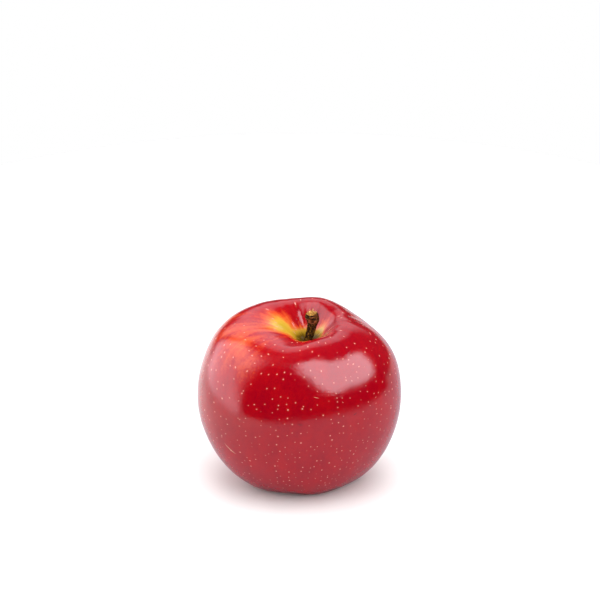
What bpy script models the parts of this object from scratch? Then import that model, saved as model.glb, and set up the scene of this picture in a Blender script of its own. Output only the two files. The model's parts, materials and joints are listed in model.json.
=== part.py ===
"""A whole red apple: one grown fruit, its woody stem, and the dried remains of its flower underneath.

Metres, +Z up, -Y is the front. The plane z = 0 is what the apple rests on, and the origin lies below the
middle of its outline. The fruit is turned about its core from one outline and then swollen unevenly, as a
real apple grows: fuller on one side, slightly oval, faintly three-cornered, with five low lobes.
"""

import math
import random

import bmesh
import bpy
from mathutils import Matrix, Vector

MM = 0.001

# The fruit's outline, from the floor of the stem cavity over the shoulder down to the roof of the flower
# basin: (distance from the core, height). The skin follows these stations as a smooth B-spline.
STATIONS_MM = (
    (0.0, 57.0), (2.0, 57.6), (6.0, 60.5), (11.0, 64.8), (17.0, 67.3), (24.6, 65.0), (32.4, 58.0),
    (36.8, 47.0), (38.0, 34.5), (35.6, 21.8), (29.8, 9.9), (22.2, 1.5), (15.4, -1.2), (9.2, 3.3),
    (6.0, 8.8), (2.8, 10.1), (0.0, 10.1),
)
CUTS_PER_STATION = 3  # points of the outline between one station and the next
TURN_STEPS = 60  # a multiple of five, so that each lobe is cut alike

# Uneven growth. Shares are of the local radius, angles are degrees about +Z from +X.
BULGE, BULGE_AT = 0.092, 180.0  # the fuller side
OVAL, OVAL_AT = 0.055, 6.0
CORNERS, CORNERS_AT = 0.02, -24.0
LOBE, LOBE_AT = 0.01, -78.0
LOBES = 5
LOBE_AT_SHOULDER = 0.25  # how much of the lobes is left at the shoulder
GROWN_FROM, GROWN_TO = 4.0 * MM, 16.0 * MM  # close to the core the fruit stays round
# The crown around the stem cavity: heights in metres that its rim rises and falls by.
CROWN_TILT, CROWN_TILT_AT = 1.6 * MM, 90.0
CROWN_WAVE, CROWN_WAVE_AT = -0.6 * MM, 10.0
CROWN_KNOB = 0.4 * MM
CAVITY_LEAN, CAVITY_LEAN_AT = 0.18, 213.0  # the cavity opens wider on this side
CAVITY_WITHIN = (20.0 * MM, 38.0 * MM)
FOOT_KNOB = -0.3 * MM  # the lobes reach this much lower than the hollows between them
FLAT_DEPTH = 0.45 * MM  # how far each lobe is pressed flat where the apple rests

CLEARANCE = 0.3 * MM  # between pieces that touch

SOCKET_RADIUS = 2.3 * MM  # where the stem enters the fruit
SOCKET_DEPTH = 3.0 * MM
STEM_RADIUS = 1.5 * MM
# The stem's centre line: (sideways, towards the back, height above the cavity floor, thickness share).
STEM_ROUTE = (
    (-0.1, 0.0, -2.6, 1.15), (0.0, 0.0, 0.0, 1.1), (0.5, 0.1, 2.2, 0.98), (1.3, 0.3, 5.0, 1.0),
    (1.9, 0.4, 8.0, 1.2), (1.95, 0.4, 10.0, 1.5), (1.6, 0.3, 11.6, 1.5), (1.5, 0.3, 12.4, 1.1),
)

CUP_RADIUS = 1.9 * MM  # the small cup that the flower left in the roof of the basin
CUP_DEPTH = 2.4 * MM
SEPAL_COUNT = 5
SEPAL_SEED = 11
SEPAL_THICKNESS = 0.55 * MM
SEPAL_ROWS = 8
SEPAL_COLUMNS = 4
# A sepal's middle line: (distance from the core, drop below the basin's roof, half width).
SEPAL_LINE_MM = (
    (3.7, 0.85, 1.8), (3.4, 1.9, 1.9), (3.0, 3.05, 1.55), (2.75, 4.0, 1.1), (3.3, 4.8, 0.7), (4.8, 5.2, 0.3),
)
TUFT_FLUTES = 9
TUFT_FLUTE_SHARE = 0.16
# The dried tuft's outline: (radius, drop below the basin's roof), from inside the cup downwards.
TUFT_LINE_MM = ((0.0, -1.9), (1.1, -1.9), (1.35, -0.4), (1.2, 1.2), (1.45, 2.4), (1.1, 3.2), (0.0, 3.5))


def smoothstep(low, high, value):
    """0 below low, 1 above high, and a smooth rise between."""
    t = min(max((value - low) / (high - low), 0.0), 1.0)
    return t * t * (3.0 - 2.0 * t)


def spline_point(stations, place):
    """The uniform cubic B-spline of the stations at a place counted in stations from the first."""
    last = len(stations) - 1
    span = min(int(place), last - 1)
    t = place - span
    weights = (
        (1.0 - t) ** 3 / 6.0,
        (3.0 * t**3 - 6.0 * t**2 + 4.0) / 6.0,
        (-3.0 * t**3 + 3.0 * t**2 + 3.0 * t + 1.0) / 6.0,
        t**3 / 6.0,
    )
    width = len(stations[0])
    point = [0.0] * width
    for offset, weight in enumerate(weights, start=-1):
        index = span + offset
        if index < 0:
            # beyond either end the outline is mirrored about the core
            station = (-stations[1][0],) + tuple(stations[1][1:])
        elif index > last:
            station = (-stations[-2][0],) + tuple(stations[-2][1:])
        else:
            station = stations[index]
        for axis in range(width):
            point[axis] += weight * station[axis]
    return point


def fruit_outline():
    """The skin's outline in metres, with the stem's socket at its start and the flower's cup at its end."""
    count = (len(STATIONS_MM) - 1) * CUTS_PER_STATION
    skin = [spline_point(STATIONS_MM, step / CUTS_PER_STATION) for step in range(count + 1)]
    skin = [(r * MM, z * MM) for r, z in skin]
    floor, roof = skin[0][1], skin[-1][1]
    middle = (floor + roof) / 2.0
    rim = [
        (r, z)
        for r, z in skin
        if r > (SOCKET_RADIUS if z > middle else CUP_RADIUS) + CLEARANCE
    ]
    socket = [(0.0, floor - SOCKET_DEPTH), (SOCKET_RADIUS, floor - SOCKET_DEPTH), (SOCKET_RADIUS, floor)]
    cup = [(CUP_RADIUS, roof), (CUP_RADIUS, roof + CUP_DEPTH), (0.0, roof + CUP_DEPTH)]
    return socket + rim + cup, floor, roof


def wave(amount, at_degrees, times, angle):
    """A cosine that peaks `times` times around the core, first at at_degrees."""
    return amount * math.cos(times * (angle - math.radians(at_degrees)))


def grown(point, height):
    """Where uneven growth puts a point of the turned fruit."""
    radius = math.hypot(point.x, point.y)
    if radius < GROWN_FROM:
        return point.copy()
    angle = math.atan2(point.y, point.x)
    share = point.z / height
    outer = smoothstep(GROWN_FROM, GROWN_TO, radius)
    upper = smoothstep(0.45, 1.0, share)
    lower = smoothstep(0.0, 1.0, (0.55 - share) / 0.55)
    lobes = LOBE * (LOBE_AT_SHOULDER + (1.0 - LOBE_AT_SHOULDER) * lower)
    swelling = (
        wave(BULGE, BULGE_AT, 1, angle)
        + wave(OVAL, OVAL_AT, 2, angle)
        + wave(CORNERS, CORNERS_AT, 3, angle)
        + wave(lobes, LOBE_AT, LOBES, angle)
    )
    crown = (
        wave(CROWN_TILT, CROWN_TILT_AT, 1, angle)
        + wave(CROWN_WAVE, CROWN_WAVE_AT, 3, angle)
        + wave(CROWN_KNOB, LOBE_AT, LOBES, angle)
    )
    foot = wave(FOOT_KNOB, LOBE_AT, LOBES, angle)
    inner = outer * upper * (1.0 - smoothstep(*CAVITY_WITHIN, radius))
    scale = (1.0 + outer * swelling) * (1.0 + inner * wave(CAVITY_LEAN, CAVITY_LEAN_AT, 1, angle))
    lift = outer * (upper * crown + lower * foot)
    return Vector((point.x * scale, point.y * scale, point.z + lift))


def finish(name, colour, roughness, metallic=0.0):
    """A plain Principled finish."""
    material = bpy.data.materials.new(name)
    material.use_nodes = True
    shader = material.node_tree.nodes["Principled BSDF"]
    shader.inputs["Base Color"].default_value = (*colour, 1.0)
    shader.inputs["Roughness"].default_value = roughness
    shader.inputs["Metallic"].default_value = metallic
    return material


def turned(name, outline, steps, collection):
    """A mesh turned about the core from an outline that runs from the top, down its outer side."""
    mesh = bpy.data.meshes.new(name)
    shape = bmesh.new()
    points = [shape.verts.new((r, 0.0, z)) for r, z in outline]
    for first, second in zip(points, points[1:]):
        shape.edges.new((first, second))
    shape.to_mesh(mesh)
    shape.free()
    piece = bpy.data.objects.new(name, mesh)
    collection.objects.link(piece)
    screw = piece.modifiers.new("turn", "SCREW")
    screw.axis = "Z"
    screw.steps = screw.render_steps = steps
    screw.use_merge_vertices = True
    screw.merge_threshold = 0.00001
    screw.use_smooth_shade = True
    return made_mesh(piece)


def made_mesh(piece):
    """Applies a piece's modifiers, or turns a curve into a mesh, and keeps its name and collection."""
    name, owners = piece.name, list(piece.users_collection)
    evaluated = piece.evaluated_get(bpy.context.evaluated_depsgraph_get())
    mesh = bpy.data.meshes.new_from_object(evaluated)
    shape = bmesh.new()
    shape.from_mesh(mesh)
    bmesh.ops.remove_doubles(shape, verts=shape.verts, dist=0.00001)
    shape.to_mesh(mesh)
    shape.free()
    placed = piece.matrix_world.copy()
    bpy.data.objects.remove(piece)
    solid = bpy.data.objects.new(name, mesh)
    solid.matrix_world = placed
    for owner in owners:
        owner.objects.link(solid)
    mesh.shade_smooth()
    return solid


def build_fruit(collection):
    """The fruit, and the heights of its cavity floor and basin roof once it has settled on z = 0."""
    outline, floor, roof = fruit_outline()
    fruit = turned("fruit", outline, TURN_STEPS, collection)
    height = max(z for _, z in outline)
    for vertex in fruit.data.vertices:
        vertex.co = grown(vertex.co, height)
    sink = min(vertex.co.z for vertex in fruit.data.vertices) + FLAT_DEPTH
    for vertex in fruit.data.vertices:
        vertex.co.z = max(vertex.co.z - sink, 0.0)
    fruit.data.materials.append(finish("fruit_skin", (0.42, 0.01, 0.02), 0.2))
    return fruit, floor - sink, roof - sink


def build_stem(collection, floor):
    """The stem: a tapering tube along its route, thick where it broke from the branch."""
    curve = bpy.data.curves.new("stem", "CURVE")
    curve.dimensions = "3D"
    curve.bevel_depth = STEM_RADIUS
    curve.bevel_resolution = 4
    curve.use_fill_caps = True
    cuts = 3
    count = (len(STEM_ROUTE) - 1) * cuts
    # the end stations are doubled, so that the smooth line starts and ends on them
    route = (STEM_ROUTE[0],) + STEM_ROUTE + (STEM_ROUTE[-1],)
    spline = curve.splines.new("POLY")
    spline.points.add(count)
    for step, point in enumerate(spline.points):
        x, y, z, share = spline_point(route, 1.0 + step / cuts)
        point.co = (x * MM, y * MM, z * MM + floor, 1.0)
        point.radius = share
    stem = bpy.data.objects.new("stem", curve)
    collection.objects.link(stem)
    stem = made_mesh(stem)
    stem.data.set_sharp_from_angle(angle=math.radians(50.0))
    stem.data.materials.append(finish("stem_bark", (0.07, 0.04, 0.02), 0.75))
    return stem


def build_sepal(name, collection, roof, angle, reach, curl):
    """One dried sepal: a pointed leaf, hollowed along its middle, that hangs down and curls outwards."""
    mesh = bpy.data.meshes.new(name)
    shape = bmesh.new()
    bmesh.ops.create_grid(shape, x_segments=SEPAL_COLUMNS, y_segments=SEPAL_ROWS, size=1.0)
    last = len(SEPAL_LINE_MM) - 1
    for vertex in shape.verts:
        across, along = vertex.co.x, (vertex.co.y + 1.0) / 2.0
        distance, drop, half_width = spline_point(SEPAL_LINE_MM, min(max(along * last, 0.35), last - 0.35))
        hollow = 0.35 * half_width * across**2
        tip = curl * smoothstep(0.6, 1.0, along)
        radius = (distance + hollow + tip) * MM
        side = across * half_width * MM
        vertex.co = (radius, side, roof - (drop + reach * along) * MM)
    bmesh.ops.rotate(shape, verts=shape.verts, matrix=Matrix.Rotation(angle, 3, "Z"))
    bmesh.ops.recalc_face_normals(shape, faces=shape.faces)
    shape.to_mesh(mesh)
    shape.free()
    sepal = bpy.data.objects.new(name, mesh)
    collection.objects.link(sepal)
    thick = sepal.modifiers.new("thickness", "SOLIDIFY")
    thick.thickness = SEPAL_THICKNESS
    thick.offset = 0.0
    mesh.shade_smooth()
    mesh.materials.append(finish(name + "_dry", (0.16, 0.11, 0.07), 0.9))
    return sepal


def build_stamens(collection, roof):
    """The dried tuft in the flower's cup: a small fluted bundle."""
    outline = [(r * MM, roof - drop * MM) for r, drop in TUFT_LINE_MM]
    tuft = turned("stamens", outline, TUFT_FLUTES * 4, collection)
    for vertex in tuft.data.vertices:
        angle = math.atan2(vertex.co.y, vertex.co.x)
        flute = 1.0 + TUFT_FLUTE_SHARE * math.cos(TUFT_FLUTES * angle)
        vertex.co.x *= flute
        vertex.co.y *= flute
    tuft.data.materials.append(finish("stamens_dry", (0.06, 0.04, 0.025), 0.95))
    return tuft


def centre_on_origin(fruit, pieces):
    """Moves every piece sideways, so that the middle of the fruit's outline stands over the origin."""
    xs = [vertex.co.x for vertex in fruit.data.vertices]
    ys = [vertex.co.y for vertex in fruit.data.vertices]
    middle = Vector(((min(xs) + max(xs)) / 2.0, (min(ys) + max(ys)) / 2.0, 0.0))
    for piece in pieces:
        piece.location -= middle


def main():
    for leftover in list(bpy.data.objects):
        bpy.data.objects.remove(leftover)
    collection = bpy.data.collections.new("apple")
    bpy.context.scene.collection.children.link(collection)
    fruit, floor, roof = build_fruit(collection)
    pieces = [fruit, build_stem(collection, floor), build_stamens(collection, roof)]
    chance = random.Random(SEPAL_SEED)
    for number in range(SEPAL_COUNT):
        angle = math.tau * number / SEPAL_COUNT + chance.uniform(-0.06, 0.06)
        reach = chance.uniform(-0.5, 0.3)
        curl = chance.uniform(-0.3, 0.9)
        pieces.append(build_sepal(f"sepal_{number + 1}", collection, roof, angle, reach, curl))
    centre_on_origin(fruit, pieces)


main()
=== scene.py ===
"""A ripe red apple standing on a pale studio table: skin, woody stem, and the dried flower underneath.

Metres, +Z up, -Y is the front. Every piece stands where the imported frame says; the fruit's outline and the
way it grew unevenly are the frame's own, only finer.
"""

import json
import logging
import math
import random
from dataclasses import dataclass, field
from enum import Enum
from typing import Any

import bmesh
import bpy
from mathutils import Matrix, Vector, noise
from mathutils.kdtree import KDTree

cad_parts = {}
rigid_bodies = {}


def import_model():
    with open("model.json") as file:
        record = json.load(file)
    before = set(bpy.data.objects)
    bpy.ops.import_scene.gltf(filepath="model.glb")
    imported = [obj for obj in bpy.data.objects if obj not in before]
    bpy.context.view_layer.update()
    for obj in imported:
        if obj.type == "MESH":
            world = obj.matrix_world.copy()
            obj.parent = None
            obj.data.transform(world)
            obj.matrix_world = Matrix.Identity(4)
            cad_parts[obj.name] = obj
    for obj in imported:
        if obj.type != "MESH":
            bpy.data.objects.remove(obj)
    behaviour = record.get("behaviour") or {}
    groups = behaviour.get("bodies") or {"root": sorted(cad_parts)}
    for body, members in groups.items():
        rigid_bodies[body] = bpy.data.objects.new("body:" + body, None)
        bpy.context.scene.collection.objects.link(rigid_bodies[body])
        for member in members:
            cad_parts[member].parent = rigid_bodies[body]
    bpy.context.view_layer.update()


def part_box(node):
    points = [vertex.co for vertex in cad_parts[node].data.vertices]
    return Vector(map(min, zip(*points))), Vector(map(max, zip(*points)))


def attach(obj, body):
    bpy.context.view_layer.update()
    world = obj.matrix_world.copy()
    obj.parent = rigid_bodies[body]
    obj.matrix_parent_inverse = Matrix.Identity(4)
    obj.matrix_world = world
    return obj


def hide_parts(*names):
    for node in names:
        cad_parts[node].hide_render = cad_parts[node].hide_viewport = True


for leftover in list(bpy.data.objects):
    bpy.data.objects.remove(leftover)
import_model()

MM = 0.001
UP = Vector((0.0, 0.0, 1.0))
LOG = logging.getLogger("apple")

Triple = tuple[float, float, float]
Colour = Triple
Feed = Any  # a socket to link from, or a plain value to set


class Slot(Enum):
    """The record's material slots."""

    SKIN = "skin"
    BARK = "bark"
    DRIED_LEAF = "dried_leaf"
    DRIED_TUFT = "dried_tuft"


class Follow(Enum):
    """The names of the attributes that patterns follow."""

    GRAIN = "grain"  # runs around the piece in x and y, and along it in z
    DOTS = "dots"  # the way from the fruit's middle, changed where dots are long
    BLUSH = "blush"  # 0 where the ground colour shows, 1 where the red is full
    DEPTH = "depth"  # 1 down in the stem cavity or the flower basin, 0 outside
    GLOW = "glow"  # 0 at the edge of a panel that fades, 1 where it is fully lit


def smoothstep(low: float, high: float, value: float) -> float:
    """A smooth rise.

    Args:
        low: The value where the rise starts.
        high: The value where it ends.
        value: The value looked up.

    Returns:
        0 below low, 1 above high, and a smooth rise between.
    """
    t = min(max((value - low) / (high - low), 0.0), 1.0)
    return t * t * (3.0 - 2.0 * t)


def bell(offset: float, width: float) -> float:
    """A bell curve: 1 at no offset, and 0.37 at one width."""
    return math.exp(-((offset / width) ** 2))


def turn_between(angle: float, other: float) -> float:
    """The signed turn in degrees from other to angle, within half a turn."""
    return (angle - other + 180.0) % 360.0 - 180.0


def outward(angle: float) -> Vector:
    """The level direction at an angle in radians."""
    return Vector((math.cos(angle), math.sin(angle), 0.0))


def polar(point: Vector) -> tuple[float, float]:
    """How far from the core's line a point is, and its angle in radians."""
    return math.hypot(point.x, point.y), math.atan2(point.y, point.x)


def spline_point(stations: tuple[tuple[float, ...], ...], place: float) -> list[float]:
    """A point of the uniform cubic B-spline that follows the stations.

    Args:
        stations: The stations; the first number of each is the distance from the core.
        place: Where on the line, counted in stations from the first.

    Returns:
        The point, with as many numbers as a station has.
    """
    last = len(stations) - 1
    span = min(int(place), last - 1)
    t = place - span
    weights = (
        (1.0 - t) ** 3 / 6.0,
        (3.0 * t**3 - 6.0 * t**2 + 4.0) / 6.0,
        (-3.0 * t**3 + 3.0 * t**2 + 3.0 * t + 1.0) / 6.0,
        t**3 / 6.0,
    )
    point = [0.0] * len(stations[0])
    for offset, weight in enumerate(weights, start=-1):
        index = span + offset
        if index < 0:
            # beyond either end the line is mirrored about the core
            station = (-stations[1][0],) + tuple(stations[1][1:])
        elif index > last:
            station = (-stations[-2][0],) + tuple(stations[-2][1:])
        else:
            station = stations[index]
        for axis in range(len(point)):
            point[axis] += weight * station[axis]
    return point


def turned(outline: list[tuple[float, float]], steps: int) -> bmesh.types.BMesh:
    """A closed body turned about +Z.

    Args:
        outline: (distance from the axis, height) in metres, from one pole to the other.
        steps: The number of cuts around.

    Returns:
        The body, with merged poles and outward faces.
    """
    shape = bmesh.new()
    points = [shape.verts.new((r, 0.0, z)) for r, z in outline]
    edges = [shape.edges.new(pair) for pair in zip(points, points[1:])]
    bmesh.ops.spin(
        shape,
        geom=points + edges,
        axis=UP,
        cent=(0.0, 0.0, 0.0),
        angle=math.tau,
        steps=steps,
        use_merge=True,
        use_duplicate=False,
    )
    bmesh.ops.remove_doubles(shape, verts=shape.verts, dist=0.002 * MM)
    bmesh.ops.recalc_face_normals(shape, faces=shape.faces)
    return shape


def placed(name: str, shape: bmesh.types.BMesh) -> bpy.types.Object:
    """Puts a shape in the scene.

    Args:
        name: The object's name.
        shape: The finished shape, in place. It is freed.

    Returns:
        The object.
    """
    mesh = bpy.data.meshes.new(name)
    shape.to_mesh(mesh)
    shape.free()
    made = bpy.data.objects.new(name, mesh)
    bpy.context.scene.collection.objects.link(made)
    return made


def made_piece(name: str, shape: bmesh.types.BMesh, nodes: tuple[str, ...]) -> bpy.types.Object:
    """Turns a shape into a piece that rides on the frame and stands for its CAD nodes.

    Args:
        name: The piece's name.
        shape: The finished shape, in place. It is freed.
        nodes: The CAD nodes that the piece stands for.

    Returns:
        The piece.
    """
    piece = placed(name, shape)
    piece.data.shade_smooth()
    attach(piece, "root")
    if nodes:
        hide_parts(*nodes)
    LOG.info("%s: %d faces", name, len(piece.data.polygons))
    return piece


def keep_values(piece: bpy.types.Object, name: Follow, values: list[Vector] | list[float]) -> None:
    """Stores one value for each vertex as an attribute that the finish can follow.

    Args:
        piece: The piece.
        name: The attribute's name.
        values: One number or one vector for each vertex.
    """
    if isinstance(values[0], float):
        kept = piece.data.attributes.new(name.value, "FLOAT", "POINT")
        kept.data.foreach_set("value", values)
    else:
        kept = piece.data.attributes.new(name.value, "FLOAT_VECTOR", "POINT")
        kept.data.foreach_set("vector", [number for vector in values for number in vector])


class Wiring:
    """Makes a tree's nodes and links them."""

    def __init__(self, tree: bpy.types.ShaderNodeTree) -> None:
        """Starts on a tree of a material or of the surroundings."""
        self.tree = tree

    def node(self, kind: str, **settings: Any) -> bpy.types.ShaderNode:
        """Adds a node.

        Args:
            kind: The node's type.
            **settings: Its properties.

        Returns:
            The node.
        """
        made = self.tree.nodes.new(kind)
        for name, value in settings.items():
            setattr(made, name, value)
        return made

    def put(self, socket: bpy.types.NodeSocket, feed: Feed) -> None:
        """Links a socket to another, or sets its value.

        Args:
            socket: The socket to fill.
            feed: A socket or a plain value. A colour may have three numbers.
        """
        if isinstance(feed, bpy.types.NodeSocket):
            self.tree.links.new(feed, socket)
        elif socket.type == "RGBA" and len(feed) == 3:
            socket.default_value = (*feed, 1.0)
        else:
            socket.default_value = feed

    def place(self) -> bpy.types.NodeSocket:
        """The place on the object, in metres."""
        return self.node("ShaderNodeTexCoord").outputs["Object"]

    def attribute(self, name: Follow, number: bool = False) -> bpy.types.NodeSocket:
        """One of the piece's attributes, as a vector or a number."""
        made = self.node("ShaderNodeAttribute", attribute_name=name.value)
        return made.outputs["Fac" if number else "Vector"]

    def maths(self, operation: str, *feeds: Feed, clamp: bool = False) -> bpy.types.NodeSocket:
        """A Math node.

        Args:
            operation: Its operation.
            *feeds: Its inputs.
            clamp: Whether the result stays within 0 and 1.

        Returns:
            The result.
        """
        made = self.node("ShaderNodeMath", operation=operation, use_clamp=clamp)
        for socket, feed in zip(made.inputs, feeds):
            self.put(socket, feed)
        return made.outputs["Value"]

    def plus(self, first: Feed, second: Feed) -> bpy.types.NodeSocket:
        """The sum of two numbers."""
        return self.maths("ADD", first, second)

    def times(self, first: Feed, second: Feed) -> bpy.types.NodeSocket:
        """The product of two numbers."""
        return self.maths("MULTIPLY", first, second)

    def line(self, value: Feed, slope: Feed, start: Feed) -> bpy.types.NodeSocket:
        """A straight line: the start, and the slope for each 1 of the value."""
        return self.maths("MULTIPLY_ADD", value, slope, start)

    def swung(self, pattern: Feed, swing: Feed, middle: Feed, clamp: bool = False) -> bpy.types.NodeSocket:
        """A number that a pattern swings about a middle.

        Args:
            pattern: The pattern, from 0 to 1.
            swing: The whole swing.
            middle: The number where the pattern is half.
            clamp: Whether the result stays within 0 and 1.

        Returns:
            The result.
        """
        return self.maths("MULTIPLY_ADD", self.maths("SUBTRACT", pattern, 0.5), swing, middle, clamp=clamp)

    def scaled(self, vector: Feed, scale: Feed) -> bpy.types.NodeSocket:
        """A vector multiplied part by part.

        Args:
            vector: The vector.
            scale: A number for each of its parts.

        Returns:
            The result.
        """
        made = self.node("ShaderNodeVectorMath", operation="MULTIPLY")
        self.put(made.inputs[0], vector)
        self.put(made.inputs[1], scale)
        return made.outputs["Vector"]

    def drawn(self, grain: Feed, share: float) -> bpy.types.NodeSocket:
        """The grain with its length shrunk to a share, which draws a pattern out along it."""
        return self.scaled(grain, (1.0, 1.0, share))

    def split(self, vector: Feed) -> list[bpy.types.NodeSocket]:
        """A vector's, or a colour's, three numbers.

        Args:
            vector: The vector or the colour.

        Returns:
            The numbers.
        """
        made = self.node("ShaderNodeSeparateXYZ")
        self.put(made.inputs[0], vector)
        return list(made.outputs)

    def rise(self, value: Feed, low: Feed, high: Feed, bottom: float = 0.0, top: float = 1.0) -> bpy.types.NodeSocket:
        """A smooth rise of value from low to high.

        Args:
            value: What is looked up.
            low: Where the rise starts.
            high: Where it ends.
            bottom: The result below low.
            top: The result above high.

        Returns:
            The result.
        """
        made = self.node("ShaderNodeMapRange", interpolation_type="SMOOTHSTEP")
        feeds = {"Value": value, "From Min": low, "From Max": high, "To Min": bottom, "To Max": top}
        for name, feed in feeds.items():
            self.put(made.inputs[name], feed)
        return made.outputs["Result"]

    def noise(
        self, where: Feed, size: float, detail: float = 2.0, rough: float = 0.5, warp: float = 0.0
    ) -> bpy.types.NodeSocket:
        """Soft noise from 0 to 1.

        Args:
            where: The place that it follows, in metres.
            size: The size of its blotches, in millimetres.
            detail: How many finer layers it has.
            rough: How strong the finer layers are.
            warp: How much it is drawn about.

        Returns:
            The noise.
        """
        made = self.node("ShaderNodeTexNoise")
        scale = 1.0 / (size * MM)
        feeds = {"Vector": where, "Scale": scale, "Detail": detail, "Roughness": rough, "Distortion": warp}
        for name, feed in feeds.items():
            self.put(made.inputs[name], feed)
        return made.outputs["Fac"]

    def around(self, way: Feed, reach: float) -> bpy.types.NodeSocket:
        """Lays the skin out flat: on the six sides of a cube around the core, with little stretching.

        Args:
            way: The way from the middle of the fruit.
            reach: Half the width of a side, in metres.

        Returns:
            The place on the flat sides, which lie well apart.
        """
        parts = self.split(way)
        x, y, z = (self.maths("ABSOLUTE", part) for part in parts)
        widest = self.maths("MAXIMUM", self.maths("MAXIMUM", x, y), z)
        across, behind, up = (self.maths("ARCTANGENT", self.maths("DIVIDE", part, widest)) for part in parts)
        on_x = self.maths("GREATER_THAN", x, self.maths("MAXIMUM", y, z))
        on_z = self.maths("GREATER_THAN", z, self.maths("MAXIMUM", x, y))
        first = self.line(on_x, self.maths("SUBTRACT", behind, across), across)
        second = self.line(on_z, self.maths("SUBTRACT", behind, up), up)
        # the sum tells the two opposite sides apart
        side = self.maths("SIGN", self.plus(across, self.plus(behind, up)))
        apart = self.line(on_x, 20.0, self.line(on_z, 40.0, self.times(side, 5.0)))
        flat = self.node("ShaderNodeCombineXYZ")
        self.put(flat.inputs["X"], self.plus(first, apart))
        self.put(flat.inputs["Y"], second)
        return self.scaled(flat.outputs["Vector"], [reach * 4.0 / math.pi] * 3)

    def cells(self, where: Feed, size: float) -> tuple[bpy.types.NodeSocket, bpy.types.NodeSocket]:
        """Points scattered over a flat place, one in each cell.

        Args:
            where: The place.
            size: The points' spacing, in millimetres.

        Returns:
            The distance to the nearest point in millimetres, and that point's own random numbers.
        """
        made = self.node("ShaderNodeTexVoronoi", voronoi_dimensions="2D")
        for name, feed in {"Vector": where, "Scale": 1.0 / (size * MM), "Randomness": 0.9}.items():
            self.put(made.inputs[name], feed)
        return self.times(made.outputs["Distance"], size), made.outputs["Color"]

    def blend(self, share: Feed, first: Feed, second: Feed) -> bpy.types.NodeSocket:
        """A colour between two.

        Args:
            share: The second colour's share.
            first: The first colour.
            second: The second colour.

        Returns:
            The colour.
        """
        made = self.node("ShaderNodeMix", data_type="RGBA")
        for index, feed in ((0, share), (6, first), (7, second)):
            self.put(made.inputs[index], feed)
        return made.outputs[2]

    def ramp(self, share: Feed, stops: tuple[tuple[float, Colour], ...]) -> bpy.types.NodeSocket:
        """A colour looked up by share.

        Args:
            share: The place on the ramp.
            stops: (place, colour), in rising order.

        Returns:
            The colour.
        """
        made = self.node("ShaderNodeValToRGB")
        elements = made.color_ramp.elements
        while len(elements) < len(stops):
            elements.new(0.5)
        for element, (place, colour) in zip(elements, stops):
            element.position = place
            element.color = (*colour, 1.0)
        self.put(made.inputs["Fac"], share)
        return made.outputs["Color"]

    def bump(self, height: Feed, depth: float, below: Feed = None) -> bpy.types.NodeSocket:
        """A relief.

        Args:
            height: The relief's height, from 0 to 1.
            depth: How deep a height of 1 is, in millimetres.
            below: The normal of a coarser relief that this one lies on.

        Returns:
            The normal.
        """
        made = self.node("ShaderNodeBump")
        made.inputs["Strength"].default_value = 1.0
        made.inputs["Distance"].default_value = depth * MM
        self.put(made.inputs["Height"], height)
        if below is not None:
            self.put(made.inputs["Normal"], below)
        return made.outputs["Normal"]


class Paint(Wiring):
    """One material's nodes, around a single Principled shader."""

    def __init__(self, name: str) -> None:
        """Starts a material.

        Args:
            name: Its name.
        """
        self.material = bpy.data.materials.new(name)
        self.material.use_nodes = True
        super().__init__(self.material.node_tree)
        self.shader = self.tree.nodes["Principled BSDF"]

    def finished(
        self, colour: Feed, roughness: Feed = 0.5, normal: Feed = None, **fixed: float
    ) -> bpy.types.Material:
        """Fills the shader.

        Args:
            colour: The base colour.
            roughness: The roughness.
            normal: The normal, where there is a relief.
            **fixed: Further sockets by name, with _ for a space, each the same all over.

        Returns:
            The material.
        """
        self.put(self.shader.inputs["Base Color"], colour)
        self.put(self.shader.inputs["Roughness"], roughness)
        if normal is not None:
            self.put(self.shader.inputs["Normal"], normal)
        for name, value in fixed.items():
            self.shader.inputs[name.replace("_", " ")].default_value = value
        return self.material


@dataclass(frozen=True)
class Mark:
    """A small healed nick or rub on the skin: an ellipsoid in which the skin has another colour."""

    centre: Triple
    half_sizes: Triple
    turn: Triple
    colour: Colour
    strength: float

    def laid(self, paint: Paint, place: Feed, below: Feed) -> bpy.types.NodeSocket:
        """Lays the mark over a colour.

        Args:
            paint: The material's nodes.
            place: The place on the object.
            below: The colour below the mark.

        Returns:
            The colour with the mark.
        """
        centred = paint.node("ShaderNodeMapping", vector_type="TEXTURE")
        paint.put(centred.inputs["Vector"], place)
        centred.inputs["Location"].default_value = [number * MM for number in self.centre]
        centred.inputs["Rotation"].default_value = [math.radians(number) for number in self.turn]
        centred.inputs["Scale"].default_value = [number * MM for number in self.half_sizes]
        length = paint.node("ShaderNodeVectorMath", operation="LENGTH")
        paint.put(length.inputs[0], centred.outputs["Vector"])
        cover = paint.rise(length.outputs["Value"], 1.0, 0.5, 0.0, self.strength)
        return paint.blend(cover, below, self.colour)


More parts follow.
